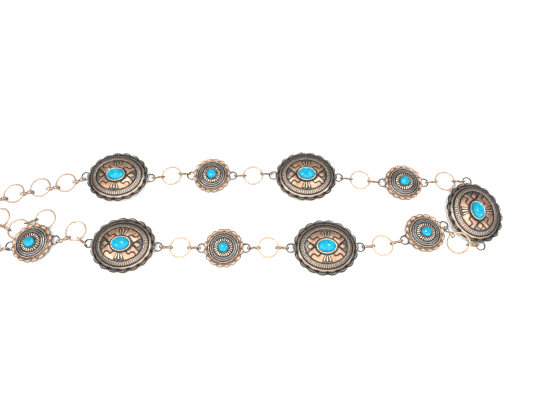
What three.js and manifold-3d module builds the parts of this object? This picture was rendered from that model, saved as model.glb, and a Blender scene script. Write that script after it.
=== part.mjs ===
// Concho belt lying on a flat surface: oval and round domed conchos, each with a turquoise cabochon
// in a bezel, joined by plain rings and figure-eight connectors. One end carries a chain of rings
// to hook into, the other a plain flat hook. Millimetres, +Z up, the surface is z = 0.
import * as THREE from 'three';
import { mergeVertices } from 'three/addons/utils/BufferGeometryUtils.js';
import Module from 'manifold-3d';

const wasm = await Module();
wasm.setup();

// Links
const ringDiameter = 18;          // outside of a chain ring
const ringWire = 1.5;
const connectorWire = 1.0;
const connectorEye = 2.15;        // centre line radius of a connector's two eyes
const connectorSpan = 6.6;        // between the centres of its eyes
const connectorLean = 12;         // degrees off upright
const connectorPlay = 0.6;        // shorter than taut before a connector swings aside
const neckGap = 0.3;              // between the two wires of a connector's neck
const endRingDiameter = 8.4;      // ring soldered under each end of a concho
const endRingWire = 1.2;
const solder = 0.1;               // depth of a soldered joint
const fuseDepth = 0.25;           // how far the bead that fuses a link goes into each wire
const seatGap = 0.3;              // between pieces that rest against each other

// Conchos: lengths along and across the belt, rise from the flat of the rim to the foot of the bezel,
// phase of the first lobe as a share of a lobe, shoulder as half the share of a lobe that is full,
// endRingPast from the tip of the rim out to the middle of an end ring
const oval = {
  length: 54, width: 47, lobes: 18, phase: 0, lobeDepth: 1.4, shoulder: 0.2, rimHeight: 0.9,
  rise: 5.7, wall: 1.4, endRingPast: 1.5, bezelWall: 0.7, bezelHeight: 1.1,
  stone: { length: 14, width: 10, height: 3.3 },
};
const round = {
  length: 32.8, width: 32.8, lobes: 16, phase: 0.5, lobeDepth: 3.0, shoulder: 0.2, rimHeight: 1.5,
  rise: 3.3, wall: 1.2, endRingPast: 1.6, bezelWall: 0.6, bezelHeight: 0.9,
  stone: { length: 8, width: 8, height: 2.2 },
};
// Steps of each face from the rim inward: reach as a share of the half length and half width,
// height as a share of the rise
const ovalFace = [
  { step: 'lobe crest', reach: 0.925, height: 0.35 },
  { step: 'groove', reach: 0.86, height: 0.21 },
  { step: 'slope top', reach: 0.77, height: 0.42 },
  { step: 'field edge', reach: 0.604, height: 0.76 },
];
const roundFace = [
  { step: 'bead crest', reach: 0.86, height: 0.52 },
  { step: 'bright ring', reach: 0.75, height: 0.68 },
  { step: 'ridges', reach: 0.50, height: 0.93 },
];
// Reach of the flat under the rim and of the crown of the hollow back
const backRim = 0.82;
const backCrown = 0.34;

// Hook: a flat casting with an eye
const hookThickness = 2.4;
const hookBar = 2.6;
const hookThroat = 5.0;
const hookShank = 11;
const hookTip = 6;
const hookEye = 2.9;              // centre line radius of its eye
const hookEyeBar = 1.5;

// How the belt lies, from the middle of the first concho on. bearing is the way of a step in degrees,
// play is how much shorter than taut it is, turn is a concho's own, and lift is its height over
// the others where it rests on rings
const conchoOrder = [
  { kind: oval, turn: -1.6, lift: 0 },
  { kind: round, turn: 0, lift: 0 },
  { kind: oval, turn: -2, lift: 0 },
  { kind: round, turn: 0, lift: 0 },
  { kind: oval, turn: -89.5, lift: 0 },
  { kind: round, turn: -160, lift: 0 },
  { kind: oval, turn: -179.3, lift: 0 },
  { kind: round, turn: 180, lift: 0 },
  { kind: oval, turn: 177, lift: 0 },
  { kind: round, turn: -172, lift: 0.65 },
];
// The steps to the ring that follows each concho, and from it on to the next. tilt raises the side of
// the ring that faces the bearing "toward", and side is the side on which slack connectors swing out
const ringSteps = [
  { to: { bearing: 8, play: 0.4 }, on: { bearing: -1, play: 0.6 } },
  { to: { bearing: 1.5, play: 0.5 }, on: { bearing: -1, play: 0.6 } },
  { to: { bearing: -6, play: -0.5 }, on: { bearing: -8.5, play: -0.9 } },
  { to: { bearing: 5.5, play: -0.8 }, on: { bearing: -2, play: -0.3 } },
  { to: { bearing: 173, play: 0.4 }, on: { bearing: 123, play: 0.8 }, tilt: 20, toward: 55 },
  { to: { bearing: -167, play: -0.7 }, on: { bearing: -175, play: -0.3 } },
  { to: { bearing: 178, play: 0 }, on: { bearing: -178, play: 0.2 } },
  { to: { bearing: 178, play: 0.4 }, on: { bearing: 179, play: 0.5 } },
  { to: { bearing: 141, play: 1.6 }, on: { bearing: -152, play: 1.4 }, side: 1 },
];
// The chain of rings from the first concho to its free end, and the ring that carries the hook
const extensionSteps = [
  { bearing: -160.5, play: 0.8, side: 1 },
  { bearing: -168.5, play: 1.1 },
  { bearing: -165.5, play: 0.8 },
  { bearing: -167, play: 1.2 },
  { bearing: -50.5, play: 1.0, side: -1 },
  { bearing: -28, play: 2.4, side: -1 },
  { bearing: 22.5, play: 0.7, side: 1 },
];
const hookStep = { bearing: -175, play: 0.8, side: 1 };

// Facets
const wireSides = 6;
const ringSegments = 14;
const endRingSegments = 10;
const connectorSegments = 14;
const connectorSides = 5;
const stoneSides = 12;
const domeSteps = [40, 90];         // degrees up a stone's dome

const ringRadius = (ringDiameter - ringWire) / 2;
const endRingRadius = (endRingDiameter - endRingWire) / 2;
const lean = THREE.MathUtils.degToRad(connectorLean);
const linkHeight = connectorEye * Math.cos(lean) + connectorWire / 2;
const wireFlat = Math.cos(Math.PI / wireSides) / 2;          // half height of a six sided wire, per diameter
const rimBase = linkHeight + endRingWire * wireFlat - solder;

const paints = {
  darkSilver: { color: 0x4b4744, roughness: 0.38, metalness: 0.85 },
  copper: { color: 0xb97b56, roughness: 0.3, metalness: 0.95 },
  turquoise: { color: 0x10b4dc, roughness: 0.25, metalness: 0 },
};
const belt = new THREE.Group();
const up = new THREE.Vector3(0, 0, 1);

function addPiece(name, geometry, paint) {
  const mesh = new THREE.Mesh(geometry, new THREE.MeshStandardMaterial(paint));
  mesh.name = name;
  belt.add(mesh);
}

// Keeps only the positions, with shared corners merged
function weld(geometry) {
  const bare = new THREE.BufferGeometry();
  bare.setAttribute('position', geometry.getAttribute('position').clone());
  if (geometry.index) bare.setIndex(geometry.index.clone());
  return mergeVertices(bare, 1e-4);
}

function toSolid(geometry) {
  const welded = weld(geometry);
  return new wasm.Manifold(new wasm.Mesh({
    numProp: 3,
    vertProperties: new Float32Array(welded.getAttribute('position').array),
    triVerts: new Uint32Array(welded.index.array),
  }));
}

function joined(geometries) {
  const whole = geometries.map(toSolid).reduce((all, next) => all.add(next));
  const mesh = whole.getMesh();
  const geometry = new THREE.BufferGeometry();
  geometry.setAttribute('position', new THREE.Float32BufferAttribute(mesh.vertProperties, mesh.numProp));
  geometry.setIndex(Array.from(mesh.triVerts));
  return geometry;
}

// Skins rings of points into one closed shell. Rings run anticlockwise seen from above, from the
// middle of the back out to the rim and back to the middle of the face. A ring may have a whole
// number of times its neighbour's points.
function skinned(rings) {
  const positions = [];
  const triangles = [];
  const starts = rings.map((ring) => {
    const start = positions.length / 3;
    ring.forEach((point) => positions.push(point.x, point.y, point.z));
    return start;
  });
  for (let level = 0; level + 1 < rings.length; level += 1) {
    const outerCount = rings[level].length;
    const innerCount = rings[level + 1].length;
    const from = (i) => starts[level] + (i % outerCount);
    const to = (i) => starts[level + 1] + (i % innerCount);
    const steps = Math.max(outerCount, innerCount);
    const ratio = steps / Math.min(outerCount, innerCount);
    for (let i = 0; i < steps; i += 1) {
      const near = ratio === 1 ? i : Math.floor((i + 1) / ratio);
      const next = ratio === 1 ? i + 1 : Math.floor((i + 2) / ratio);
      if (outerCount >= innerCount) {
        triangles.push(from(i), from(i + 1), to(near));
        if (next > near) triangles.push(from(i + 1), to(next), to(near));
      } else {
        triangles.push(from(near), to(i + 1), to(i));
        if (next > near) triangles.push(from(near), from(next), to(i + 1));
      }
    }
  }
  const centre = (ring) => {
    const middle = ring.reduce((sum, point) => sum.add(point), new THREE.Vector3());
    middle.divideScalar(ring.length);
    positions.push(middle.x, middle.y, middle.z);
    return positions.length / 3 - 1;
  };
  const first = centre(rings[0]);
  const last = centre(rings[rings.length - 1]);
  rings[0].forEach((point, i) => {
    triangles.push(first, starts[0] + ((i + 1) % rings[0].length), starts[0] + i);
  });
  const top = rings.length - 1;
  rings[top].forEach((point, i) => {
    triangles.push(last, starts[top] + i, starts[top] + ((i + 1) % rings[top].length));
  });
  const geometry = new THREE.BufferGeometry();
  geometry.setAttribute('position', new THREE.Float32BufferAttribute(positions, 3));
  geometry.setIndex(triangles);
  return geometry;
}

function endRingReach(kind) {
  return kind.length / 2 + kind.endRingPast;
}

// A smooth oval ring with one point for each lobe
function ovalRing(kind, halfLength, halfWidth, height) {
  return Array.from({ length: kind.lobes }, (unused, i) => {
    const angle = ((i + kind.phase) * 2 * Math.PI) / kind.lobes;
    return new THREE.Vector3(halfLength * Math.cos(angle), halfWidth * Math.sin(angle), height);
  });
}

// The lobed rim: two shoulders on each lobe and the valley after it
function lobedRing(kind, height) {
  const stops = [
    { share: -kind.shoulder, inset: 0 },
    { share: kind.shoulder, inset: 0 },
    { share: 0.5, inset: kind.lobeDepth },
  ];
  const lobes = Array.from({ length: kind.lobes }, (unused, i) => i);
  return lobes.flatMap((lobe) => stops.map(({ share, inset }) => {
    const angle = ((lobe + kind.phase + share) * 2 * Math.PI) / kind.lobes;
    const x = (kind.length / 2 - inset) * Math.cos(angle);
    const y = (kind.width / 2 - inset) * Math.sin(angle);
    return new THREE.Vector3(x, y, height);
  }));
}

// The plate of a concho with its bezel and its two soldered end rings, about its own centre, with
// the flat of its rim at height 0
function conchoPlate(kind, face) {
  const step = (reach, height) => (
    ovalRing(kind, (reach * kind.length) / 2, (reach * kind.width) / 2, height)
  );
  const bezel = (grow, height) => (
    ovalRing(kind, kind.stone.length / 2 + seatGap + grow, kind.stone.width / 2 + seatGap + grow, height)
  );
  const shoulderHeight = face[face.length - 1].height * kind.rise - kind.wall;
  const rings = [
    step(backCrown, kind.rise - kind.wall),
    step(face[face.length - 1].reach, shoulderHeight),
    step(backRim, 0),
    lobedRing(kind, 0),
    lobedRing(kind, kind.rimHeight),
    ...face.map(({ reach, height }) => step(reach, height * kind.rise)),
    bezel(kind.bezelWall, kind.rise),
    bezel(kind.bezelWall, kind.rise + kind.bezelHeight),
    bezel(0, kind.rise + kind.bezelHeight),
    bezel(0, kind.rise),
  ];
  const endRings = [-1, 1].map((way) => {
    const ring = new THREE.TorusGeometry(endRingRadius, endRingWire / 2, wireSides, endRingSegments);
    return ring.translate(way * endRingReach(kind), 0, solder - endRingWire * wireFlat);
  });
  return joined([skinned(rings), ...endRings]);
}

// A cabochon: a straight girdle that stands in the bezel under a smooth dome
function cabochon({ length, width, height }, girdle) {
  const dome = height - girdle;
  const profile = [[0, 0], [1, 0], [1, girdle]];
  domeSteps.forEach((degrees) => {
    const angle = THREE.MathUtils.degToRad(degrees);
    profile.push([Math.cos(angle), girdle + dome * Math.sin(angle)]);
  });
  profile[profile.length - 1][0] = 0;
  const points = profile.map(([reach, level]) => new THREE.Vector2(reach, level));
  const stone = new THREE.LatheGeometry(points, stoneSides).rotateX(Math.PI / 2);
  return weld(stone.scale(length / 2, width / 2, 1));
}

// The centre line of a connector seen square on: two eyes joined by a narrow neck
function connectorLine() {
  const eyeAngles = [-135, -90, -45, 0, 45, 90, 135];
  const neck = (connectorWire + neckGap) / 2;
  const points = [];
  [1, -1].forEach((way) => {
    eyeAngles.forEach((degrees) => {
      const angle = THREE.MathUtils.degToRad(degrees);
      const x = connectorSpan / 2 + connectorEye * Math.cos(angle);
      points.push(new THREE.Vector3(way * x, way * connectorEye * Math.sin(angle), 0));
    });
    points.push(new THREE.Vector3(0, way * neck, 0));
  });
  return new THREE.CatmullRomCurve3(points, true, 'centripetal');
}

function connectorShape() {
  const line = connectorLine();
  return weld(new THREE.TubeGeometry(line, connectorSegments, connectorWire / 2, connectorSides, true));
}

// A round wire ring in its own frame: centre, the direction in which it is square on, and its radius
function loop(centre, normal, radius) {
  return { centre, normal, radius };
}

// The point of a loop's centre line nearest to another place, turned aside by an angle
function loopPoint({ centre, normal, radius }, towards, aside) {
  const reach = towards.clone().sub(centre).projectOnPlane(normal).setLength(radius);
  return reach.applyAxisAngle(normal, aside).add(centre);
}

// Where a connector's eyes sit on two loops: straight across where the chain is taut, and swung
// out to one side where it is slack
function eyesBetween(first, second, side) {
  const shared = Math.sqrt(first.radius * second.radius);
  const ends = (aside) => [
    loopPoint(first, second.centre, (side * aside * shared) / first.radius),
    loopPoint(second, first.centre, (-side * aside * shared) / second.radius),
  ];
  const span = (aside) => ends(aside)[0].distanceTo(ends(aside)[1]);
  let aside = 0;
  if (span(0) < connectorSpan - connectorPlay) {
    let tooFar = Math.PI / 3;
    for (let halving = 0; halving < 30; halving += 1) {
      const middle = (aside + tooFar) / 2;
      if (span(middle) < connectorSpan) aside = middle;
      else tooFar = middle;
    }
  }
  return ends(aside);
}

// The matrix that lays a connector along its two eyes, leaning off upright
function connectorMatrix([start, end]) {
  const along = end.clone().sub(start).normalize();
  const level = new THREE.Vector3(-along.y, along.x, 0).normalize();
  const upright = new THREE.Vector3().crossVectors(along, level).normalize();
  upright.applyAxisAngle(along, lean);
  const normal = new THREE.Vector3().crossVectors(along, upright);
  const matrix = new THREE.Matrix4().makeBasis(along, upright, normal);
  return matrix.setPosition(start.clone().add(end).divideScalar(2));
}

function ringMatrix({ centre, normal }) {
  const turn = new THREE.Quaternion().setFromUnitVectors(up, normal);
  return new THREE.Matrix4().compose(centre, turn, new THREE.Vector3(1, 1, 1));
}

function ringShape() {
  return weld(new THREE.TorusGeometry(ringRadius, ringWire / 2, wireSides, ringSegments));
}

// The bead of metal that fuses an eye to the ring that it holds
function fuseBead([start, end]) {
  const along = end.clone().sub(start).normalize();
  const reach = (connectorSpan - start.distanceTo(end)) / 2;
  const inner = ringWire / 2;
  const outer = connectorEye - connectorWire / 2 + reach;
  const middle = start.clone().addScaledVector(along, -(inner + outer) / 2);
  const radius = (outer - inner) / 2 + fuseDepth;
  return new THREE.IcosahedronGeometry(radius, 0).translate(middle.x, middle.y, middle.z);
}

// A place a step away from another, taut length less play
function stepFrom({ x, y }, { bearing, play = 0 }, taut) {
  const angle = THREE.MathUtils.degToRad(bearing);
  const reach = taut - play;
  return { x: x + reach * Math.cos(angle), y: y + reach * Math.sin(angle) };
}

// The two end rings of a concho
function endLoops({ kind, x, y, turn, lift }) {
  return [-1, 1].map((way) => {
    const end = stepFrom({ x, y }, { bearing: turn }, way * endRingReach(kind));
    return loop(new THREE.Vector3(end.x, end.y, linkHeight + lift), up, endRingRadius);
  });
}

function ringLoop({ x, y, tilt = 0, toward = 0 }) {
  const slope = THREE.MathUtils.degToRad(tilt);
  const bearing = THREE.MathUtils.degToRad(toward);
  const normal = new THREE.Vector3(-Math.cos(bearing), -Math.sin(bearing), 0)
    .multiplyScalar(Math.sin(slope)).addScaledVector(up, Math.cos(slope));
  const resting = ringWire / 2 + ringRadius * Math.sin(slope);
  return loop(new THREE.Vector3(x, y, Math.max(linkHeight, resting)), normal, ringRadius);
}

function addConnector(name, first, second, side = 1) {
  const eyes = eyesBetween(first, second, side);
  addPiece(name, connectorShape().applyMatrix4(connectorMatrix(eyes)), paints.copper);
}

function addRing(name, ring) {
  addPiece(name, ringShape().applyMatrix4(ringMatrix(ring)), paints.copper);
}

// A ring fused to the connector that leads on from it
function addRingLink(name, ring, next, side = 1) {
  const eyes = eyesBetween(ring, next, side);
  const pieces = [
    ringShape().applyMatrix4(ringMatrix(ring)),
    connectorShape().applyMatrix4(connectorMatrix(eyes)),
    fuseBead(eyes),
  ];
  addPiece(name, joined(pieces), paints.copper);
}

// The hook, about the centre of its eye and pointing along -X
function hookShape() {
  const halfBar = hookBar / 2;
  const bend = hookThroat / 2 + halfBar;
  const start = -hookEye;
  const outline = new THREE.Shape();
  outline.moveTo(start, halfBar);
  outline.lineTo(start, -halfBar);
  outline.lineTo(-hookShank, -halfBar);
  outline.absarc(-hookShank, -bend, hookThroat / 2, Math.PI / 2, (3 * Math.PI) / 2, false);
  outline.lineTo(hookTip - hookShank, -bend - hookThroat / 2);
  outline.lineTo(hookTip - hookShank, -bend - hookThroat / 2 - hookBar);
  outline.lineTo(-hookShank, -bend - hookThroat / 2 - hookBar);
  outline.absarc(-hookShank, -bend, hookThroat / 2 + hookBar, (3 * Math.PI) / 2, Math.PI / 2, true);
  outline.closePath();
  const body = new THREE.ExtrudeGeometry(outline, {
    depth: hookThickness, bevelEnabled: false, curveSegments: 8,
  });
  const eye = new THREE.TorusGeometry(hookEye, hookEyeBar / 2, wireSides, 12);
  return joined([body, eye.translate(0, 0, linkHeight)]);
}

const toRing = endRingRadius + connectorSpan + ringRadius;
const ringToRing = 2 * ringRadius + connectorSpan;
const conchos = [{ ...conchoOrder[0], x: 0, y: 0 }];
const rings = ringSteps.map(({ to, on, tilt, toward }, i) => {
  const ring = stepFrom(endLoops(conchos[i])[1].centre, to, toRing);
  const end = stepFrom(ring, on, toRing);
  const next = conchoOrder[i + 1];
  conchos.push({ ...next, ...stepFrom(end, { bearing: next.turn }, endRingReach(next.kind)) });
  return ringLoop({ ...ring, tilt, toward });
});

conchos.forEach(({ kind, x, y, turn, lift }, i) => {
  const face = kind === oval ? ovalFace : roundFace;
  const word = kind === oval ? 'oval' : 'round';
  const number = Math.floor(i / 2) + 1;
  const base = rimBase + lift;
  const place = new THREE.Matrix4().makeRotationZ(THREE.MathUtils.degToRad(turn)).setPosition(x, y, base);
  const plate = conchoPlate(kind, face).applyMatrix4(place);
  addPiece(`${word}_concho_${number}`, plate, paints.darkSilver);
  const seat = kind.rise + seatGap;
  const stone = cabochon(kind.stone, kind.bezelHeight).translate(0, 0, seat).applyMatrix4(place);
  addPiece(`${word}_stone_${number}`, stone, paints.turquoise);
});

rings.forEach((ring, i) => {
  const { side } = ringSteps[i];
  addRing(`chain_ring_${i + 1}`, ring);
  addConnector(`connector_${i + 1}a`, endLoops(conchos[i])[1], ring, side);
  addConnector(`connector_${i + 1}b`, ring, endLoops(conchos[i + 1])[0], side);
});

const firstLoop = endLoops(conchos[0])[0];
const extension = [];
extensionSteps.forEach((step, i) => {
  const from = i === 0 ? firstLoop : extension[i - 1];
  extension.push(ringLoop(stepFrom(from.centre, step, i === 0 ? toRing : ringToRing)));
});
addConnector('extension_connector', firstLoop, extension[0], extensionSteps[0].side);
extension.forEach((ring, i) => {
  if (i === extension.length - 1) addRing('extension_end_ring', ring);
  else addRingLink(`extension_link_${i + 1}`, ring, extension[i + 1], extensionSteps[i + 1].side);
});

const lastLoop = endLoops(conchos[conchos.length - 1])[1];
const hookRing = ringLoop(stepFrom(lastLoop.centre, hookStep, toRing));
const hookReach = ringRadius + connectorSpan + hookEye;
const hookLoop = loop(hookRing.centre.clone().setX(hookRing.centre.x - hookReach), up, hookEye);
addConnector('hook_connector', lastLoop, hookRing, hookStep.side);
addRingLink('hook_link', hookRing, hookLoop);
addPiece('hook', hookShape().translate(hookLoop.centre.x, hookLoop.centre.y, 0), paints.copper);

// The origin is the middle of the belt's footprint
const footprint = new THREE.Box3().setFromObject(belt);
const middle = footprint.getCenter(new THREE.Vector3());
belt.children.forEach((piece) => piece.geometry.translate(-middle.x, -middle.y, 0));

export default belt;
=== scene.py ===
"""Concho belt laid on a pale surface: stamped conchos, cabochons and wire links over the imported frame.

Lengths are in millimetres until a mesh is made, and the belt lies as the frame's nodes do.
"""
import math

import bpy
import numpy as np
from mathutils import Matrix, Quaternion, Vector


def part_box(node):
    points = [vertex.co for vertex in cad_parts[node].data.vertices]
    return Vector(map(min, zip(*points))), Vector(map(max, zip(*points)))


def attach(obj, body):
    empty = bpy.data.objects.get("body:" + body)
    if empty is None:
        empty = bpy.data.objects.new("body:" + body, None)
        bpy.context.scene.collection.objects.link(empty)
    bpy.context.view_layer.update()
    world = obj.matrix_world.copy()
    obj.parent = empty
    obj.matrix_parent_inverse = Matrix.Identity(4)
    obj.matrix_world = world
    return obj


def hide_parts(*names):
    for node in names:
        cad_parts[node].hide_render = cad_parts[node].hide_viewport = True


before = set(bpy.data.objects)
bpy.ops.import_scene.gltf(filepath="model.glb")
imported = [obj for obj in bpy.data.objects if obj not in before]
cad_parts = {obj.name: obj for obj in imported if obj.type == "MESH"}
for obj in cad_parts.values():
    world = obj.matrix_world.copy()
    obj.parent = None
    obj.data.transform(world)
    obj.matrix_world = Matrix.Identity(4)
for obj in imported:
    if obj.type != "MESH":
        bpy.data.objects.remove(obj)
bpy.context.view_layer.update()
scene = bpy.context.scene
MM = 0.001
TURN = 2 * math.pi
UP = Vector((0, 0, 1))

# camera, from the photograph's vanishing and sizes
AIM = Vector((31.2, 10.7, 0.0)) * MM
STAND = Vector((0.0, -104.0, 293.0)) * MM
LENS, SENSOR_WIDTH = 24.28, 36.0
camera = bpy.data.objects.new("camera", bpy.data.cameras.new("camera"))
camera.data.lens, camera.data.sensor_width = LENS, SENSOR_WIDTH
camera.data.clip_start, camera.data.clip_end = 0.01, 20.0
camera.location = AIM + STAND
camera.rotation_mode = "QUATERNION"
camera.rotation_quaternion = (AIM - camera.location).to_track_quat("-Z", "Y")
scene.collection.objects.link(camera)
scene.camera = camera

# sizes of the wires and how high they lie, as in the part's source
RING_RADIUS, RING_WIRE = 8.25, 1.5
EYE, WIRE = 2.15, 1.0
SPAN, PLAY = 6.6, 0.6                       # between a connector's eyes, and how much shorter it may be
LEAN = math.radians(12)
END_RADIUS, END_WIRE, END_SIDES, END_SINK = 3.6, 1.2, 6, 0.1
LINK_Z = EYE * math.cos(LEAN) + WIRE / 2
RIM_Z = LINK_Z + END_WIRE * math.cos(math.pi / END_SIDES) / 2 - END_SINK
TO_RING = END_RADIUS + SPAN + RING_RADIUS
HOOK_EYE, HOOK_EYE_BAR, HOOK_BAR, HOOK_DEPTH = 2.9, 1.5, 2.6, 2.4
HOOK_THROAT, HOOK_SHANK, HOOK_TIP = 5.0, 11.0, 6.0

# sizes of the conchos: a and b are half the length and width, past is from the edge to an end ring's middle
SEAT = 0.3
OVAL = {"a": 27.0, "b": 23.5, "lobes": 18, "past": 1.5, "rise": 5.7, "wall": 1.4, "steps": 432,
        "stone": (14.0, 10.0, 3.3), "bezel": 0.7, "bezel_z": 1.1, "bright": 1.0}
ROUND = {"a": 16.4, "b": 16.4, "lobes": 16, "past": 1.6, "rise": 3.3, "wall": 1.2, "steps": 288,
         "stone": (8.0, 8.0, 2.2), "bezel": 0.6, "bezel_z": 0.9, "bright": 0.5}

# kind, turn and lift of each concho
CONCHOS = [(OVAL, -1.6, 0), (ROUND, 0, 0), (OVAL, -2, 0), (ROUND, 0, 0), (OVAL, -89.5, 0),
           (ROUND, -160, 0), (OVAL, -179.3, 0), (ROUND, 180, 0), (OVAL, 177, 0), (ROUND, -172, 0.65)]
# for the ring after each concho: bearing and play on the way to it, bearing and play on the way on from it,
# its tilt and the bearing of its raised side, and the side to which its connectors swing
RINGS = [(8, 0.4, -1, 0.6, 0, 0, 1), (1.5, 0.5, -1, 0.6, 0, 0, 1), (-6, -0.5, -8.5, -0.9, 0, 0, 1),
         (5.5, -0.8, -2, -0.3, 0, 0, 1), (173, 0.4, 123, 0.8, 20, 55, 1), (-167, -0.7, -175, -0.3, 0, 0, 1),
         (178, 0, -178, 0.2, 0, 0, 1), (178, 0.4, 179, 0.5, 0, 0, 1), (141, 1.6, -152, 1.4, 0, 0, 1)]
# bearing, play and swing side of each step of the extension, and of the step to the hook's ring
EXTENSION = [(-160.5, 0.8, 1), (-168.5, 1.1, 1), (-165.5, 0.8, 1), (-167, 1.2, 1),
             (-50.5, 1.0, -1), (-28, 2.4, -1), (22.5, 0.7, 1)]
HOOK_STEP = (-175, 0.8, 1)

# how finely the meshes are made: steps along a ring and sides of its wire
END_MESH, RING_MESH, HOOK_EYE_MESH = (36, 10), (72, 12), (40, 12)
EIGHT_STEPS, EIGHT_SIDES = 5, 10
SOLDER_SIDES, HOOK_SIDES, STONE_STEPS = 12, 16, 64


def clip01(x):
    """x, kept within 0 and 1."""
    return np.clip(x, 0.0, 1.0)


def ramp(low, high, x):
    """0 to 1 as x goes from low to high, either way round, with soft ends."""
    t = clip01((np.asarray(x, float) - low) / (high - low))
    return t * t * (3 - 2 * t)


def stops(x, pairs):
    """Straight lines through (x, value) pairs in rising order of x."""
    return np.interp(x, *zip(*pairs))


def mix(a, b, t):
    """a where t is 0 and b where it is 1."""
    return a + (b - a) * t


def around(steps):
    """The angles of one turn in even steps."""
    return np.arange(steps) * TURN / steps


def fold(t, count, shift=0.0):
    """In each of count even parts of a turn, 1 falls to 0 in the middle and rises to 1 again.

    A shift of 0.5 starts in the middle of a part.
    """
    return 2 * np.abs((t * count / TURN + shift) % 1 - 0.5)


# meshes
def make_object(name, parts, materials):
    """One object from parts of (vertices in mm, faces, material index, relief colours or None)."""
    verts, faces, slots, tints, start = [], [], [], [], 0
    for points, quads, slot, colours in parts:
        verts.append(points)
        faces.extend([tuple(start + i for i in face) for face in quads])
        slots.extend([slot] * len(quads))
        tints.append(np.ones((len(points), 4)) if colours is None else colours)
        start += len(points)
    mesh = bpy.data.meshes.new(name)
    mesh.from_pydata((np.vstack(verts) * MM).tolist(), [], faces)
    mesh.polygons.foreach_set("material_index", slots)
    mesh.polygons.foreach_set("use_smooth", [True] * len(faces))
    if any(part[3] is not None for part in parts):
        layer = mesh.color_attributes.new("relief", "FLOAT_COLOR", "POINT")
        layer.data.foreach_set("color", np.vstack(tints).ravel())
    for material in materials:
        mesh.materials.append(material)
    mesh.update()
    made = bpy.data.objects.new(name, mesh)
    scene.collection.objects.link(made)
    return made


def placed(points, matrix):
    """Points moved by a matrix."""
    m = np.array(matrix)
    return points @ m[:3, :3].T + m[:3, 3]


def grid_faces(rows, cols, closed_rows=False):
    """Faces between rows of points, each of which runs all round."""
    faces = []
    for r in range(rows if closed_rows else rows - 1):
        a, b = r * cols, ((r + 1) % rows) * cols
        faces.extend([(a + c, a + (c + 1) % cols, b + (c + 1) % cols, b + c) for c in range(cols)])
    return faces


def end_faces(rows, cols):
    """The two faces that close the first and the last of such rows."""
    return [tuple(range(cols))[::-1], tuple(range((rows - 1) * cols, rows * cols))]


def tube(path, radius, sides, closed, flat=1.0):
    """A tube of points along a path, with a steady frame; flat squeezes it along its second axis."""
    path = np.asarray(path, float)
    if closed:
        along = np.roll(path, -1, 0) - np.roll(path, 1, 0)
    else:
        along = np.gradient(path, axis=0)
    along /= np.linalg.norm(along, axis=1)[:, None]
    side = np.cross(along[0], [0.0, 0.0, 1.0])
    if np.linalg.norm(side) < 0.1:
        side = np.cross(along[0], [0.0, 1.0, 0.0])
    angles = around(sides)[:, None]
    rows = []
    for middle, way, size in zip(path, along, np.broadcast_to(radius, len(path))):
        side = side - way * side.dot(way)
        side /= np.linalg.norm(side)
        rows.append(middle + size * (np.cos(angles) * side + flat * np.sin(angles) * np.cross(way, side)))
    faces = grid_faces(len(path), sides, closed)
    if not closed:
        faces += end_faces(len(path), sides)
    return np.vstack(rows), faces


def ellipse(half, t):
    """x and y of an ellipse of these two half sizes at the angles t."""
    return half[0] * np.cos(t), half[1] * np.sin(t)


def hoop(radius, wire, mesh):
    """A level ring of wire."""
    t = around(mesh[0])
    return tube(np.column_stack([*ellipse((radius, radius), t), 0 * t]), wire / 2, mesh[1], True)


def rounded(points, steps):
    """A closed Catmull-Rom line through the points."""
    points = np.asarray(points, float)
    out = []
    for i in range(len(points)):
        p0, p1, p2, p3 = (points[(i + k) % len(points)] for k in (-1, 0, 1, 2))
        for t in np.arange(steps) / steps:
            out.append(0.5 * (2 * p1 + (p2 - p0) * t + (2 * p0 - 5 * p1 + 4 * p2 - p3) * t * t
                              + (3 * p1 - p0 - 3 * p2 + p3) * t ** 3))
    return np.array(out)


# conchos: each row of a plate is x, y, height and tint, and a tint is copper, shade and pale share
BACK_TINT = (0.15, 0.4)
BACK_EDGE = 0.995


def tint(copper, shade, pale=0.0):
    """Relief colours: red is the share of copper over slate, green 0 is black, and blue is the pale share."""
    copper, shade, pale = np.broadcast_arrays(copper, shade, pale)
    return np.column_stack([clip01(copper), clip01(shade), clip01(pale), 0 * shade + 1])


def layered(*layers):
    """The tint of layers, each a share of the surface and its own copper, shade and pale share."""
    return tint(*(sum(share * values[k] for share, values in layers) for k in range(3)))


def shell(rows, back):
    """The face's rows from the rim inward, over the back's rows of x, y and height, as one closed skin."""
    cols = len(rows[0][0])
    plain = tint(np.full(cols, BACK_TINT[0]), BACK_TINT[1])
    rows = [(*row, plain) for row in back] + rows
    points = [np.column_stack([x, y, np.broadcast_to(z, cols)]) for x, y, z, _ in rows]
    faces = grid_faces(len(rows), cols) + end_faces(len(rows), cols)
    return np.vstack(points), faces, np.vstack([row[3] for row in rows])


def around_stone(kind, grow):
    """Half sizes of an ellipse that is this far outside the stone."""
    return kind["stone"][0] / 2 + grow, kind["stone"][1] / 2 + grow


def bezel_rows(kind, t):
    """Rows up the outside, over and down the inside of a bezel."""
    wall, top, base = kind["bezel"], kind["rise"] + kind["bezel_z"], kind["rise"]
    # distance outward from the seat, height and shade: painted shade at the foot and inside under the stone,
    # and the pale top is partly its own metal and partly a painted highlight
    shape = [(wall, base - 0.1, 0.15), (wall, base + 0.35, 0.55), (wall, top - 0.25, 1.0),
             (wall * 0.8, top, 1.0), (wall * 0.4, top + 0.02, 1.0), (0.05, top - 0.12, 0.8),
             (0.0, top - 0.5, 0.1), (0.0, base, 0.05)]
    rows = []
    for grow, z, shade in shape:
        shade *= kind["bright"]
        metal = tint(np.full(len(t), 0.95), shade, 0.8 * ramp(0.5, 0.9, shade))
        rows.append((*ellipse(around_stone(kind, SEAT + grow), t), z, metal))
    return rows


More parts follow.
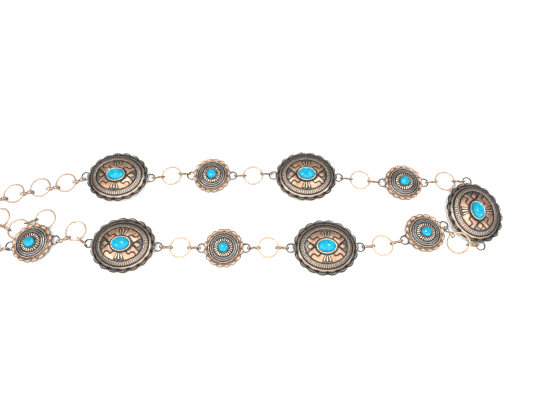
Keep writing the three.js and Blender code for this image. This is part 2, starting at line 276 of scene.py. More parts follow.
def finish_plate(kind, t, outline, rows):
    """A plate's face with its bezel, closed by a hollow back."""
    rise, wall = kind["rise"], kind["wall"]
    # share of the plate and height of the hollow's middle, shoulder and foot
    hollow = ((0.34, rise - wall), (0.6, 0.76 * rise - wall), (0.82, 0.0))
    back = [(*ellipse((share * kind["a"], share * kind["b"]), t), z) for share, z in hollow]
    back.append((outline[0] * BACK_EDGE, outline[1] * BACK_EDGE, 0.0))
    return shell(rows + bezel_rows(kind, t), back)


# field of an oval: lines and petals in mm from its middle, in one quarter
FIELD_COPPER, FIELD_SHADE = 0.85, 0.92
WAVE = [(12.8, 8.2), (12.3, 7.1), (11.3, 6.2), (10.1, 6.1), (8.9, 6.9), (7.8, 7.8),
        (6.7, 7.8), (5.7, 6.8), (4.9, 5.4)]
WAVE_WIDTH = (0.72, 0.4)
WEDGE = [(16.9, 6.5), (9.1, 0.25)]
WEDGE_WIDTH = (0.62, 0.34)
WEDGE_TIP, WEDGE_ACROSS = 9.1, (0.63, 0.78)
WEDGE_EDGE, WEDGE_BACK = (-0.15, 0.25), 0.5
HATCH_X, HATCH_Y, HATCH_RATE = 0.8, 1.6, 3.4
DIAMOND_AT, DIAMOND_HALF = 13.1, (2.5, 2.0)
DIAMOND_EDGE, DIAMOND_FRAME = (1.06, 0.94), (1.55, 1.35)
FAN_Y, FAN_SPREAD, FAN_LENGTH = 7.4, 0.22, 6
FAN_EDGE, FAN_START = (0.62, 0.42), (-0.4, 0.0)
PETALS = [(0.0, 4.8), (1.34, 4.5)]          # how far aside each is, and its length
PETAL_HALF, PETAL_FOOT, PETAL_POINT, PETAL_EDGE = 0.32, 0.3, 1.6, (0.06, -0.12)
# copper, shade and change of height of a raised diamond, of a cut line and of the shadow round the bezel
DIAMOND_STAMP, LINE_STAMP, SHADOW_STAMP = (0.9, 1.0, 0.3), (0.2, 0.0, -0.22), (0.3, 0.04, -0.15)
WEDGE_DEEP, FAN_DEEP, PETAL_HIGH, PETAL_PALE = 0.15, 0.15, 0.3, 0.35
BEZEL_MEAN, BEZEL_SHADOW = 6.8, (2.0, 1.3)  # mean half size, and how far out its shadow fades


def distance_to(x, y, line):
    """Distance from points to a broken line."""
    best = np.full(np.shape(x), np.inf)
    for (ax, ay), (bx, by) in zip(line, line[1:]):
        dx, dy = bx - ax, by - ay
        t = clip01(((x - ax) * dx + (y - ay) * dy) / (dx * dx + dy * dy))
        best = np.minimum(best, np.hypot(x - ax - t * dx, y - ay - t * dy))
    return best


def stamp(field, share, copper, shade, raised):
    """The field's copper, shade and height with these laid over it where share is 1."""
    return mix(field[0], copper, share), mix(field[1], shade, share), field[2] + raised * share


def feather_fan(x, y):
    """Shares of the petals, which spread outward, and of the fan that holds them and their dark gaps."""
    v = y - FAN_Y
    spread = x / (1 + FAN_SPREAD * np.clip(v, 0, FAN_LENGTH))
    near = np.inf
    for aside, length in PETALS:
        past = np.maximum(v - length + PETAL_HALF, 0) + np.maximum(PETAL_FOOT - v, 0)
        near = np.minimum(near, np.hypot(spread - aside, past / PETAL_POINT) - PETAL_HALF)
    return ramp(*PETAL_EDGE, near), ramp(*FAN_EDGE, near) * ramp(*FAN_START, v)


def field_relief(x, y):
    """Copper, shade, height and pale share of the stamped field of an oval, alike in each quarter."""
    x, y = np.abs(x), np.abs(y)
    field = (np.full(x.shape, FIELD_COPPER), np.full(x.shape, FIELD_SHADE), np.zeros(x.shape))
    inside = (x - WEDGE_TIP) * WEDGE_ACROSS[0] - y * WEDGE_ACROSS[1]
    wedge = ramp(*WEDGE_EDGE, inside) * ramp(WEDGE_TIP - WEDGE_BACK, WEDGE_TIP, x)
    hatch = 0.5 + 0.5 * np.sin((x * HATCH_X - y * HATCH_Y) * HATCH_RATE)
    field = stamp(field, wedge, 0.1 + 0.2 * hatch, 0.1 + 0.6 * hatch, -WEDGE_DEEP)
    diamond = np.abs(x - DIAMOND_AT) / DIAMOND_HALF[0] + y / DIAMOND_HALF[1]
    gem = ramp(*DIAMOND_EDGE, diamond)
    field = stamp(field, gem, *DIAMOND_STAMP)
    field = stamp(field, ramp(*DIAMOND_FRAME, diamond) * (1 - gem) * wedge, field[0], 0.0, 0.0)
    petals, fan = feather_fan(x, y)
    field = stamp(field, fan, 0.9 * petals, petals, PETAL_HIGH * petals - FAN_DEEP)
    for line, width in ((WAVE, WAVE_WIDTH), (WEDGE, WEDGE_WIDTH)):
        field = stamp(field, ramp(*width, distance_to(x, y, line)), *LINE_STAMP)
    bezel = around_stone(OVAL, SEAT + OVAL["bezel"])
    shadow = ramp(*BEZEL_SHADOW, (np.hypot(x / bezel[0], y / bezel[1]) - 1) * BEZEL_MEAN)
    copper, shade, height = stamp(field, shadow, *SHADOW_STAMP)
    return copper, shade, height, PETAL_PALE * petals * fan * (1 - shadow)


# bands of an oval: shares are of the half width across
LOBE_HALF, LOBE_SAG, LOBE_ROWS = 4.4, 1.5, 23
LOBE_SHARE, FIELD_SHARE = 0.86, 0.59
# height from the groove inside the lobes out to the edge, then by the distance in mm from the edge
LOBE_HEIGHT = [(0, 1.15), (0.1, 1.6), (0.3, 2.0), (0.5, 2.0), (0.8, 1.45), (1, 0.75)]
LOBE_LINES = [(0, 0), (0.2, 0.2), (0.4, 0.12), (0.6, -0.1), (1.15, -0.05), (1.35, 0.16),
              (1.6, 0.14), (1.8, -0.08), (2.3, -0.06), (2.6, 0.22), (9, 0.2)]
LOBE_SHADE = [(0, 1.0), (0.35, 0.9), (0.5, 0.05), (9, 0.05)]
# a painted highlight along the middle of each lobe, by the distance in mm from the edge
LOBE_PAINTED_HIGHLIGHT = [(1.25, 0), (1.5, 1.0), (1.75, 1.0), (2.0, 0)]
GROOVE_SHADE, GROOVE_EDGE = 0.06, (0.6, 0.35)
# how far the lobes fall towards their junctions, and the cut and the shade of a junction
LOBE_FALL, FALL_POWER, JUNCTION_DEEP = 0.55, 2.5, 0.25
JUNCTION_CUT, JUNCTION_SHADE, PAINTED_HIGHLIGHT_ENDS = (0.78, 1.0), (0.85, 0.98), (0.9, 0.4)
LIP_EDGE, LIP_COPPER, LIP_PALE, PAINTED_HIGHLIGHT_PALE = (0.4, 0.25), 0.6, 0.9, 0.12
# rows of the plain slope, the reeded band and its inner line, closer together where an edge is
BAND_SHARES = [0.855, 0.845, 0.83, 0.815, 0.80, 0.788, 0.777, 0.77, 0.762, 0.757,
               *np.linspace(0.752, 0.645, 14), 0.64, 0.635, 0.63, 0.625, 0.62, 0.614, 0.605, 0.596]
BAND_RISE = [(0.59, 0.77), (0.604, 0.76), (0.77, 0.42), (0.86, 0.21)]
TEETH, TOOTH_EDGE = 72, (0.8, 0.5)
REED_INNER, REED_OUTER = (0.638, 0.65), (0.748, 0.734)
LINE_INNER, LINE_OUTER = (0.617, 0.623), (0.64, 0.634)
# the plain slope's inner edge, and the edge, least and added pale share of a painted glint along it
SLOPE_INNER, GLINT_EDGE, GLINT_LEAST, GLINT_MORE = (0.784, 0.8), (0.825, 0.80), 0.05, 0.35
SCALLOP_TOP, SCALLOP_DIP, SCALLOP_EDGE = 0.856, 0.82, (0.004, -0.008)
REED_TINT, LINE_TINT, SCALLOP_TINT = (0.35, 0.85, 0.25), (0.75, 0.9, 0.3), (0.75, 0.74)
REED_HIGH, LINE_HIGH, SLOPE_HIGH = 0.28, 0.25, 0.12
FIELD_ROWS, FIELD_RISE, FIELD_BORDER = 34, 0.77, (0.05, 0.12)


def band_half(kind, share):
    """Half sizes of a line at this share across; the bands keep their widths all round."""
    across = share * kind["b"]
    return across + (kind["a"] - kind["b"]), across


def lobe_rows(kind, t, u, outline):
    """The lobed border, from the outline in to the groove; u is 0 in mid lobe and 1 at a junction."""
    groove = ellipse(band_half(kind, LOBE_SHARE), t)
    depth = np.hypot(outline[0] - groove[0], outline[1] - groove[1])
    junction = ramp(*JUNCTION_CUT, u)
    rows = []
    for w in np.linspace(1, 0, LOBE_ROWS):
        d = (1 - w) * depth
        z = stops(w, LOBE_HEIGHT) + stops(d, LOBE_LINES)
        z = z - LOBE_FALL * u ** FALL_POWER * ramp(0, 0.25, w) - JUNCTION_DEEP * junction
        lip = ramp(*LIP_EDGE, d)
        # painted highlight: a lighter, paler streak along each lobe, fading towards its junctions
        painted_highlight = stops(d, LOBE_PAINTED_HIGHLIGHT) * ramp(*PAINTED_HIGHLIGHT_ENDS, u)
        shade = np.maximum(stops(d, LOBE_SHADE), painted_highlight)
        shade = mix(shade, GROOVE_SHADE, ramp(*GROOVE_EDGE, depth - d))
        shade = mix(shade, GROOVE_SHADE, ramp(*JUNCTION_SHADE, u))
        pale = np.maximum(LIP_PALE * lip, PAINTED_HIGHLIGHT_PALE * painted_highlight)
        metal = tint(LIP_COPPER * lip * (1 - junction), shade, pale)
        rows.append((mix(groove[0], outline[0], w), mix(groove[1], outline[1], w), z, metal))
    return rows


def band_rows(kind, t, u):
    """In from the lobes: a slope with copper scallops, the reeded band and its inner line."""
    tooth = ramp(*TOOTH_EDGE, fold(t, TEETH))
    rows = []
    for share in BAND_SHARES:
        body = tooth * ramp(*REED_INNER, share) * ramp(*REED_OUTER, share)
        line = ramp(*LINE_OUTER, share) * ramp(*LINE_INNER, share)
        slope = ramp(*SLOPE_INNER, share)
        scallop = slope * ramp(*SCALLOP_EDGE, share - mix(SCALLOP_TOP, SCALLOP_DIP, u ** 2))
        z = kind["rise"] * stops(share, BAND_RISE)
        z = z + REED_HIGH * body + LINE_HIGH * line + SLOPE_HIGH * slope
        # painted glint: pale on the scallops, most towards the slope's inner edge
        glint = GLINT_LEAST + GLINT_MORE * ramp(*GLINT_EDGE, share)
        metal = layered((body, REED_TINT), (line, LINE_TINT), (scallop, (*SCALLOP_TINT, glint)))
        rows.append((*ellipse(band_half(kind, share), t), z, metal))
    return rows


def field_rows(kind, t):
    """The stamped field, from its dark border in to the bezel."""
    outer, inner = band_half(kind, FIELD_SHARE), around_stone(kind, SEAT + kind["bezel"])
    rows = []
    for q in np.linspace(0.02, 0.99, FIELD_ROWS):
        x, y = ellipse([mix(outer[k], inner[k], q) for k in (0, 1)], t)
        copper, shade, height, pale = field_relief(x, y)
        z = kind["rise"] * mix(FIELD_RISE, 1, math.sin(q * math.pi / 2)) + height
        rows.append((x, y, z, tint(copper, shade * ramp(*FIELD_BORDER, q), pale)))
    return rows


def oval_plate(kind):
    """A lobed plate with a reeded band and a stamped field."""
    t = around(kind["steps"])
    u = fold(t, kind["lobes"], 0.5)
    bow = (LOBE_HALF ** 2 + LOBE_SAG ** 2) / (2 * LOBE_SAG)
    inset = bow - np.sqrt(bow ** 2 - (LOBE_HALF * u) ** 2)
    outline = ellipse((kind["a"] - inset, kind["b"] - inset), t)
    rows = lobe_rows(kind, t, u, outline) + band_rows(kind, t, u) + field_rows(kind, t)
    return finish_plate(kind, t, outline, rows)


# face of a round concho, in mm from its middle
EDGE_RADIUS, EDGE_LEAST = 15.0, 14.3
BEAD_AT, BEAD_DEEP, BEAD_HALF, BEAD_TOP_HALF = 14.9, 1.5, 2.8, 2.75
BEAD_FOOT, BEAD_ROWS = 12.85, 17
BEAD_Z, BEAD_HIGH, STEM_HIGH, BEAD_PALE = 0.8, 1.2, 0.3, 0.12
# where a bead begins and where its shade has turned from edge to top, both by its height as a share
BEAD_EDGE, BEAD_TURN, BEAD_SHADES = (-0.04, 0.06), (0.05, 0.3), (0.5, 0.84)
EDGE_COPPER, BEAD_COPPER, EDGE_SHADE, STEM_SHADE = 0.25, 0.6, 0.6, 0.4
FOOT_SHADES, FOOT_EDGE = (0.3, 1.0), (0.0, 0.08)
EDGE_HEIGHT = [(12.8, 2.0), (13.6, 1.35), (14.3, 1.0)]
STEM_WIDTH, STEM_OUTER = (0.6, 0.3), (13.9, 13.6)
DOME_RADII = [*np.arange(12.75, 8.0, -0.15), *np.arange(7.9, 5.0, -0.2)]
DOME_RISE = [(5.0, 1.0), (8.2, 0.93), (12.3, 0.68), (13, 0.6)]
RING_AT, RING_EDGE, RING_TINT = 12.3, (0.42, 0.2), (0.85, 1.0, 0.3)
RIDGES_AT, RIDGE_EDGE, RIDGE_TINT = (10.5, 8.95), (0.5, 0.26), (0.1, 0.85, 0.0)
FLUTES, RAY_EDGE, RAY_TINT = 24, (0.5, 0.26), (0.7, 1.0, 0.8)
RAY_INNER, RAY_OUTER = (4.95, 5.25), (7.6, 7.2)
RAY_FROM, RAY_LENGTH, RAY_TAPER = 5, 2.4, (1.15, 0.95)
RING_HIGH, RIDGE_HIGH, RAY_HIGH = 0.32, 0.22, 0.3


def bead_rows(t, apart, reach):
    """The beads and their stems, from the outline in; apart is the angle from the middle of a bead."""
    side = apart * EDGE_RADIUS
    rows = []
    for w in np.linspace(1, 0, BEAD_ROWS):
        r = mix(BEAD_FOOT, reach, w)
        bead = 1 - (apart * r / BEAD_TOP_HALF) ** 2 - ((r - BEAD_AT) / BEAD_DEEP) ** 2
        on_bead = ramp(*BEAD_EDGE, bead)
        stem = ramp(*STEM_WIDTH, side) * ramp(*STEM_OUTER, r) * (1 - on_bead)
        top = BEAD_Z + BEAD_HIGH * np.sqrt(clip01(bead))
        z = mix(stops(r, EDGE_HEIGHT), top, on_bead) + STEM_HIGH * stem
        copper = EDGE_COPPER + BEAD_COPPER * np.maximum(on_bead, stem)
        shade = mix(EDGE_SHADE, mix(*BEAD_SHADES, ramp(*BEAD_TURN, bead)), on_bead) + STEM_SHADE * stem
        shade = shade * mix(*FOOT_SHADES, ramp(*FOOT_EDGE, w))
        rows.append((*ellipse((r, r), t), z, tint(copper, shade, BEAD_PALE * on_bead)))
    return rows


def dome_rows(kind, t):
    """Inside the beads: a copper ring, two dark ridges and a sunburst of rays."""
    flute = fold(t, FLUTES)
    rows = []
    for r in DOME_RADII:
        ring = ramp(*RING_EDGE, abs(r - RING_AT))
        ridges = max(ramp(*RIDGE_EDGE, abs(r - at)) for at in RIDGES_AT)
        wide = flute * mix(*RAY_TAPER, (r - RAY_FROM) / RAY_LENGTH)
        ray = ramp(*RAY_EDGE, wide) * ramp(*RAY_OUTER, r) * ramp(*RAY_INNER, r)
        z = kind["rise"] * stops(r, DOME_RISE)
        z = z + RING_HIGH * ring + RIDGE_HIGH * ridges + RAY_HIGH * ray
        metal = layered((ring, RING_TINT), (ridges, RIDGE_TINT), (ray, RAY_TINT))
        rows.append((*ellipse((r, r), t), z, metal))
    return rows


def round_plate(kind):
    """A beaded plate with ridges and a sunburst."""
    t = around(kind["steps"])
    apart = fold(t, kind["lobes"]) * TURN / kind["lobes"] / 2
    side = apart * EDGE_RADIUS
    bead = BEAD_AT + BEAD_DEEP * np.sqrt(clip01(1 - (side / BEAD_HALF) ** 2))
    reach = np.maximum(EDGE_LEAST, np.where(side < BEAD_HALF, bead, 0))
    rows = bead_rows(t, apart, reach) + dome_rows(kind, t)
    return finish_plate(kind, t, ellipse((reach, reach), t), rows)


END_PAINTED_SHADOW_TO_WEAR = (END_RADIUS + 0.1, END_RADIUS + 0.5)       # from its black inner side, a painted shadow, to its worn outer edge


def end_rings(kind):
    """The soldered rings under both ends, black on their inner sides as a painted shadow and worn along their
    outer edges.
    """
    points, faces = hoop(END_RADIUS, END_WIRE, END_MESH)
    past = kind["a"] + kind["past"]
    clear_of_painted_shade = ramp(*END_PAINTED_SHADOW_TO_WEAR, np.hypot(points[:, 0], points[:, 1]))
    # black inside as a painted shadow, worn copper and pale along the outer edge
    metal = tint(0.3 + 0.5 * clear_of_painted_shade, 0.03 + 0.8 * clear_of_painted_shade, 0.5 * clear_of_painted_shade)
    return [(points + [way * past, 0, LINK_Z - RIM_Z], faces, metal) for way in (-1, 1)]


# shares of the stone's width at its foot and top, and heights of its upright side
STONE_FOOT, STONE_TOP, GIRDLE, GIRDLE_FOOT = 0.97, 0.02, 0.9, 0.15
DOME_STEPS, DOME_FULLNESS = 14, 0.9


def cabochon(size):
    """A domed stone on an upright girdle."""
    length, width, height = size
    rows = [(STONE_FOOT, 0.0), (1.0, GIRDLE_FOOT), (1.0, GIRDLE)]
    for angle in np.linspace(0, math.pi / 2, DOME_STEPS + 1)[1:-1]:
        rows.append((math.cos(angle) ** DOME_FULLNESS, GIRDLE + (height - GIRDLE) * math.sin(angle)))
    rows.append((STONE_TOP, height))
    t = around(STONE_STEPS)
    points = [np.column_stack([*ellipse((share * length / 2, share * width / 2), t), 0 * t + z])
              for share, z in rows]
    return np.vstack(points), grid_faces(len(rows), STONE_STEPS) + end_faces(len(rows), STONE_STEPS)


# materials
COPPER = (0.54, 0.295, 0.165, 1)
COPPER_WORN = (0.29, 0.17, 0.11, 1)
PALE = (0.90, 0.74, 0.55, 1)
SLATE = (0.25, 0.245, 0.235, 1)
# black of the oxide in the hollows, also used for painted shade and painted shadow
OXIDE_AND_PAINTED_SHADE = (0.022, 0.023, 0.024, 1)
WIRE_BRIGHT, WIRE_DULL = (0.62, 0.435, 0.31, 1), (0.44, 0.295, 0.205, 1)
AMBER_BRIGHT, AMBER_DULL = (0.52, 0.33, 0.18, 1), (0.34, 0.2, 0.11, 1)
WIRE_PAINTED_SHADE = (0.06, 0.045, 0.04, 1)
STONE_DEEP, STONE_LIGHT = (0.0, 0.22, 0.36, 1), (0.0, 0.40, 0.55, 1)
STONE_SPECK = (0.0, 0.12, 0.20, 1)
FLOOR_DIM, FLOOR_LIGHT = (0.95, 0.95, 0.95, 1), (0.97, 0.97, 0.97, 1)
MIX_INPUTS, MIX_RESULT = (0, 6, 7), 2       # sockets of a mix node: factor and two colours, and its result


def material(name, build):
    """A new material that build makes of its node tree and its shader."""
    made = bpy.data.materials.new(name)
    made.use_nodes = True
    tree = made.node_tree
    build(tree, tree.nodes["Principled BSDF"])
    return made


def node(tree, kind, values=(), links=(), **props):
    """A new node with its properties, the values of its sockets and the sources linked to them."""
    made = tree.nodes.new(kind)
    for key, value in props.items():
        setattr(made, key, value)
    for key, value in dict(values).items():
        made.inputs[key].default_value = value
    for key, source in dict(links).items():
        tree.links.new(source, made.inputs[key])
    return made


def blend_colours(tree, factor, a, b):
    """Colour a where the factor is 0 and b where it is 1; each may be a value or a socket."""
    made = node(tree, "ShaderNodeMix", data_type="RGBA", blend_type="MIX")
    for socket, value in zip(MIX_INPUTS, (factor, a, b)):
        if isinstance(value, bpy.types.NodeSocket):
            tree.links.new(value, made.inputs[socket])
        else:
            made.inputs[socket].default_value = value
    return made.outputs[MIX_RESULT]


def noise(tree, scale, detail, stretch=(1, 1, 1)):
    """Noise in the object's own space."""
    coords = node(tree, "ShaderNodeTexCoord").outputs["Object"]
    mapping = node(tree, "ShaderNodeMapping", {"Scale": stretch}, {"Vector": coords})
    made = node(tree, "ShaderNodeTexNoise", {"Scale": scale, "Detail": detail},
                {"Vector": mapping.outputs[0]})
    return made.outputs["Fac"]


def ranged(tree, value, source, target):
    """The value's source range spread over the target range."""
    made = node(tree, "ShaderNodeMapRange", enumerate((*source, *target), 1), {0: value})
    return made.outputs[0]


def plate_look(tree, shader):
    """Oxidised metal, worn to copper and pale as the relief colours say, which also carry painted shade,
    shadow and highlights.
    """
    relief = node(tree, "ShaderNodeVertexColor", layer_name="relief")
    copper, shade, pale = node(tree, "ShaderNodeSeparateColor", (), {0: relief.outputs["Color"]}).outputs
    worn = ranged(tree, noise(tree, 330.0, 5.0), (0.4, 0.65), (0.0, 0.8))
    brushed = ranged(tree, noise(tree, 900.0, 3.0, (0.15, 1.0, 1.0)), (0.3, 0.7), (0.0, 0.35))
    metal = blend_colours(tree, worn, COPPER, COPPER_WORN)
    metal = blend_colours(tree, brushed, metal, COPPER_WORN)
    colour = blend_colours(tree, copper, SLATE, metal)
    colour = blend_colours(tree, pale, colour, PALE)
    colour = blend_colours(tree, shade, OXIDE_AND_PAINTED_SHADE, colour)
    rough = ranged(tree, noise(tree, 500.0, 4.0), (0.3, 0.7), (0.24, 0.42))
    pits = node(tree, "ShaderNodeBump", {"Strength": 0.25, "Distance": 0.0001},
                {"Height": noise(tree, 1400.0, 3.0)})
    tree.links.new(colour, shader.inputs["Base Color"])
    tree.links.new(rough, shader.inputs["Roughness"])
    tree.links.new(pits.outputs[0], shader.inputs["Normal"])
    shader.inputs["Metallic"].default_value = 0.9


def wire_look(tree, shader, bright=WIRE_BRIGHT, dull=WIRE_DULL):
    """Copper wire, lighter on top, with painted shade darkening its sides."""
    worn = ranged(tree, noise(tree, 180.0, 4.0), (0.4, 0.7), (0.0, 0.6))
    metal = blend_colours(tree, worn, bright, dull)
    normal = node(tree, "ShaderNodeNewGeometry").outputs["Normal"]
    # painted shade: the wire darkens towards its sides as its normal turns from up
    upward = node(tree, "ShaderNodeSeparateXYZ", (), {0: normal}).outputs[2]
    clear_of_painted_shade = ranged(tree, upward, (0.1, 0.6), (0.0, 1.0))
    rough = ranged(tree, noise(tree, 600.0, 3.0), (0.3, 0.7), (0.36, 0.48))
    tree.links.new(blend_colours(tree, clear_of_painted_shade, WIRE_PAINTED_SHADE, metal), shader.inputs["Base Color"])
    tree.links.new(rough, shader.inputs["Roughness"])
    shader.inputs["Metallic"].default_value = 1.0


def amber_look(tree, shader):
    """The darker wire of the connectors."""
    wire_look(tree, shader, AMBER_BRIGHT, AMBER_DULL)


def stone_look(tree, shader):
    """Cloudy turquoise with dark specks under a thin polish."""
    cloud = ranged(tree, noise(tree, 330.0, 6.0), (0.35, 0.68), (0.0, 1.0))
    specks = ranged(tree, noise(tree, 620.0, 5.0), (0.56, 0.68), (0.0, 0.85))
    colour = blend_colours(tree, cloud, STONE_DEEP, STONE_LIGHT)
    colour = blend_colours(tree, specks, colour, STONE_SPECK)
    tree.links.new(colour, shader.inputs["Base Color"])
    shader.inputs["Roughness"].default_value = 0.22
    shader.inputs["Specular IOR Level"].default_value = 0.1
    shader.inputs["Coat Weight"].default_value = 0.34
    shader.inputs["Coat Roughness"].default_value = 0.03


def floor_look(tree, shader):
    """A plain surface, nearly white."""
    grain = ranged(tree, noise(tree, 40.0, 3.0), (0.3, 0.7), (0.0, 1.0))
    tree.links.new(blend_colours(tree, grain, FLOOR_DIM, FLOOR_LIGHT), shader.inputs["Base Color"])
    shader.inputs["Roughness"].default_value = 0.9
    shader.inputs["Specular IOR Level"].default_value = 0.1


plate_metal = material("oxidised_copper", plate_look)
wire_metal = material("copper_wire", wire_look)
amber_metal = material("amber_copper_wire", amber_look)
turquoise = material("turquoise", stone_look)
wires = [wire_metal, amber_metal]
OF_WIRE, OF_AMBER = 0, 1


# where the belt's pieces lie
def step(place, bearing, reach):
    """A place on the floor, this far from another on a bearing in degrees."""
    angle = math.radians(bearing)
    return Vector((place[0] + reach * math.cos(angle), place[1] + reach * math.sin(angle), 0))


def ring_loop(place, tilt=0, toward=0):
    """The loop of a chain ring; tilt raises its side at the bearing toward."""
    slope, bearing = math.radians(tilt), math.radians(toward)
    normal = Vector((-math.cos(bearing), -math.sin(bearing), 0)) * math.sin(slope) + UP * math.cos(slope)
    height = max(LINK_Z, RING_WIRE / 2 + RING_RADIUS * math.sin(slope))
    return {"centre": Vector((place[0], place[1], height)), "normal": normal, "radius": RING_RADIUS}


def end_loops(concho):
    """The loops of a concho's two end rings: the one that leads back along the belt, then the one on."""
    kind, turn, lift, place = concho
    reach = kind["a"] + kind["past"]
    centres = [step(place, turn, way * reach) + UP * (LINK_Z + lift) for way in (-1, 1)]
    return [{"centre": centre, "normal": UP, "radius": END_RADIUS} for centre in centres]


def loop_point(loop, towards, aside):
    """The point of a loop that is nearest to a place, turned aside by an angle."""
    reach = towards - loop["centre"]
    reach -= loop["normal"] * reach.dot(loop["normal"])
    reach = reach.normalized() * loop["radius"]
    return Quaternion(loop["normal"], aside) @ reach + loop["centre"]


WIDEST_SWING, HALVINGS = math.pi / 3, 30


def eyes_between(first, second, side=1):
    """Where a connector's eyes sit on two loops; where the loops are close, it swings aside."""
    shared = math.sqrt(first["radius"] * second["radius"])

    def ends(aside):
        return (loop_point(first, second["centre"], side * aside * shared / first["radius"]),
                loop_point(second, first["centre"], -side * aside * shared / second["radius"]))

    def span(aside):
        start, end = ends(aside)
        return (end - start).length

    if span(0) >= SPAN - PLAY:
        return ends(0)
    low, high = 0.0, WIDEST_SWING
    for _ in range(HALVINGS):
        middle = (low + high) / 2
        if span(middle) < SPAN:
            low = middle
        else:
            high = middle
    return ends(low)


# wire pieces, each as one part for make_object
EYE_OPEN, EYE_STEP = 135, 45                # degrees round an eye each way, and from one point to the next
EYE_CLIMB, CROSSING_GAP = 900, 0.02         # degrees to each mm of height, and half the gap in mm
SOLDER = [(-0.62, 0.1), (-0.5, 0.45), (-0.25, 0.66), (0.0, 0.72), (0.25, 0.66), (0.5, 0.45), (0.62, 0.1)]
TIP_SHARES = (0.44, 0.2)                    # radii of the last two rows of the hook's tip, by its bar


def connector(eyes):
    """A figure eight of wire that crosses over itself between its two eyes."""
    start, end = eyes
    points = []
    for way in (1, -1):
        for degrees in range(-EYE_OPEN, EYE_OPEN + 1, EYE_STEP):
            angle = math.radians(degrees) * way
            x = way * (SPAN / 2 + EYE * math.cos(angle))
            points.append((x, EYE * math.sin(angle), way * degrees / EYE_CLIMB))
        points.append((0.0, 0.0, way * (WIRE / 2 + CROSSING_GAP)))
    along = (end - start).normalized()
    level = Vector((-along.y, along.x, 0)).normalized()
    upright = Quaternion(along, LEAN) @ along.cross(level).normalized()
    matrix = Matrix((along, upright, along.cross(upright))).transposed().to_4x4()
    matrix.translation = (start + end) / 2
    shape, faces = tube(rounded(points, EIGHT_STEPS), WIRE / 2, EIGHT_SIDES, True)
    return placed(shape, matrix), faces, OF_AMBER, None


def ring(loop):
    """A chain ring in its loop's place."""
    shape, faces = hoop(RING_RADIUS, RING_WIRE, RING_MESH)
    matrix = UP.rotation_difference(loop["normal"]).to_matrix().to_4x4()
    matrix.translation = loop["centre"]
    return placed(shape, matrix), faces, OF_WIRE, None


def solder(eyes):
    """The small bead that joins an eye to its ring."""
    start, end = eyes
    along = (end - start).normalized()
    middle = start - along * ((RING_WIRE / 2 + EYE - WIRE / 2) / 2)
    path, radii = [middle + UP * z for z, _ in SOLDER], [radius for _, radius in SOLDER]
    shape, faces = tube(path, radii, SOLDER_SIDES, False)
    return shape, faces, OF_WIRE, None


def hook_parts(eye):
    """A flat hook and the loop that it hangs by."""
    bend = HOOK_THROAT / 2 + HOOK_BAR / 2
    path = [(x, 0.0, 0.0) for x in np.linspace(-HOOK_EYE, -HOOK_SHANK, 8)]
    path += [(-HOOK_SHANK - bend * math.sin(a), -bend + bend * math.cos(a), 0.0)
             for a in np.linspace(0, math.pi, 17)[1:]]
    path += [(-HOOK_SHANK + x, -2 * bend, 0.0) for x in np.linspace(0, HOOK_TIP, 8)[1:]]
    radii = np.full(len(path), HOOK_BAR / 2)
    radii[-2:] = [HOOK_BAR * share for share in TIP_SHARES]
    shape, faces = tube(path, radii, HOOK_SIDES, False, HOOK_DEPTH / HOOK_BAR)
    loop, loop_faces = hoop(HOOK_EYE, HOOK_EYE_BAR, HOOK_EYE_MESH)
    return [(shape + [eye.x, eye.y, HOOK_DEPTH / 2], faces, OF_WIRE, None),
            (loop + np.array(eye), loop_faces, OF_WIRE, None)]


# the belt
def settle(piece, cad_node):
    """Every piece rides the one body and takes the place of a node of the frame."""
    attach(piece, "root")
    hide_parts(cad_node)


first_low, first_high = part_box("oval_concho_1")
place = (Vector(first_low) + Vector(first_high)) / (2 * MM)
conchos, rings = [(*CONCHOS[0], Vector((place.x, place.y, 0)))], []
for (bearing, play, onward, slack, tilt, toward, side), (kind, turn, lift) in zip(RINGS, CONCHOS[1:]):
    at = step(end_loops(conchos[-1])[1]["centre"], bearing, TO_RING - play)
    rings.append((ring_loop(at, tilt, toward), side))
    end = step(at, onward, TO_RING - slack)
    conchos.append((kind, turn, lift, step(end, turn, kind["a"] + kind["past"])))

plates = {"oval": oval_plate(OVAL), "round": round_plate(ROUND)}
for i, (kind, turn, lift, place) in enumerate(conchos):
    word = "oval" if kind is OVAL else "round"
    name = word + "_{}_" + str(i // 2 + 1)
    matrix = Matrix.Translation(place + UP * (RIM_Z + lift)) @ Matrix.Rotation(math.radians(turn), 4, "Z")
    points, faces, tints = plates[word]
    parts = [(placed(points, matrix), faces, 0, tints)]
    parts += [(placed(hoop_points, matrix), hoop_faces, 0, metal)
              for hoop_points, hoop_faces, metal in end_rings(kind)]
    settle(make_object(name.format("stamped"), parts, [plate_metal]), name.format("concho"))
    points, faces = cabochon(kind["stone"])
    matrix = matrix @ Matrix.Translation((0, 0, kind["rise"] + SEAT))
    settle(make_object(name.format("cabochon"), [(placed(points, matrix), faces, 0, None)], [turquoise]),
           name.format("stone"))

for i, (loop, side) in enumerate(rings):
    settle(make_object(f"wire_ring_{i + 1}", [ring(loop)], [wire_metal]), f"chain_ring_{i + 1}")
    before, after = end_loops(conchos[i])[1], end_loops(conchos[i + 1])[0]
    for letter, ends in (("a", (before, loop)), ("b", (loop, after))):
        settle(make_object(f"wire_eight_{i + 1}{letter}", [connector(eyes_between(*ends, side))], wires),
               f"connector_{i + 1}{letter}")

first = end_loops(conchos[0])[0]
links, reach, at = [], TO_RING, first["centre"]
for bearing, play, side in EXTENSION:
    at = step(at, bearing, reach - play)
    links.append(ring_loop(at))
    reach = 2 * RING_RADIUS + SPAN
eyes = eyes_between(first, links[0], EXTENSION[0][2])
settle(make_object("extension_eight", [connector(eyes)], wires), "extension_connector")
for i, loop in enumerate(links[:-1]):
    eyes = eyes_between(loop, links[i + 1], EXTENSION[i + 1][2])
    settle(make_object(f"extension_wire_{i + 1}", [ring(loop), connector(eyes), solder(eyes)], wires),
           f"extension_link_{i + 1}")
settle(make_object("extension_last_ring", [ring(links[-1])], [wire_metal]), "extension_end_ring")

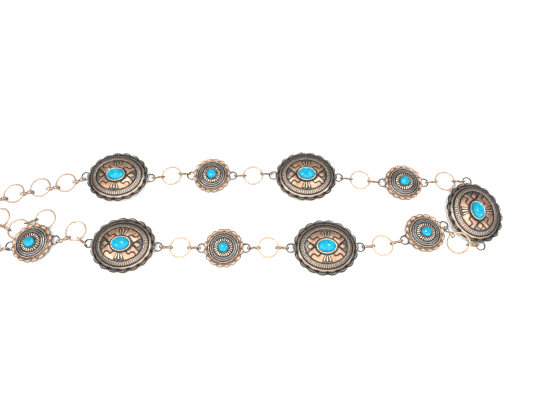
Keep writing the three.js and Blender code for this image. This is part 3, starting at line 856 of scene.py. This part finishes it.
last = end_loops(conchos[-1])[1]
hook_ring = ring_loop(step(last["centre"], HOOK_STEP[0], TO_RING - HOOK_STEP[1]))
hook_eye = hook_ring["centre"] - Vector((RING_RADIUS + SPAN + HOOK_EYE, 0, 0))
eyes = eyes_between(last, hook_ring, HOOK_STEP[2])
settle(make_object("hook_eight", [connector(eyes)], wires), "hook_connector")
eyes = eyes_between(hook_ring, {"centre": hook_eye, "normal": UP, "radius": HOOK_EYE})
settle(make_object("hook_wire_ring", [ring(hook_ring), connector(eyes), solder(eyes)], wires),
       "hook_link")
settle(make_object("cast_hook", hook_parts(hook_eye), [wire_metal]), "hook")

# floor, light and view
FLOOR_SIZE = 6.0
SKY_COLOUR, SKY_STRENGTH = (0.97, 0.98, 1.0, 1), (0.36, 0.72)
# name, place and size in metres, and power in watts
LAMPS = [("left", (-0.28, 0.22, 0.95), 0.13, 2.6), ("right", (0.36, 0.2, 0.95), 0.13, 2.6),
         ("left_side", (-0.7, -0.25, 0.8), 0.3, 3.2), ("right_side", (0.75, -0.25, 0.8), 0.3, 3.2),
         ("overhead", (0.0, -0.55, 1.1), 1.2, 12.5)]


def studio_sky():
    """A pale sky that grows brighter upward."""
    world = bpy.data.worlds.new("studio")
    world.use_nodes = True
    tree = world.node_tree
    background = tree.nodes["Background"]
    coords = node(tree, "ShaderNodeTexCoord").outputs["Generated"]
    height = node(tree, "ShaderNodeSeparateXYZ", (), {0: coords}).outputs[2]
    background.inputs[0].default_value = SKY_COLOUR
    tree.links.new(ranged(tree, height, (0.0, 0.8), SKY_STRENGTH), background.inputs[1])
    return world


def add_lamp(name, spot, size, power):
    """A square lamp that faces the middle of the floor."""
    lamp = bpy.data.objects.new(name, bpy.data.lights.new(name, "AREA"))
    lamp.data.size, lamp.data.energy = size, power
    lamp.location = spot
    lamp.rotation_mode = "QUATERNION"
    lamp.rotation_quaternion = (-lamp.location).to_track_quat("-Z", "Y")
    scene.collection.objects.link(lamp)


bpy.ops.mesh.primitive_plane_add(size=FLOOR_SIZE, location=(0, 0, 0))
floor = bpy.context.object
floor.name = "floor"
floor.data.materials.append(material("pale_surface", floor_look))
scene.world = studio_sky()
for name, spot, size, power in LAMPS:
    add_lamp(name + "_light", spot, size, power)
scene.view_settings.view_transform = "Standard"
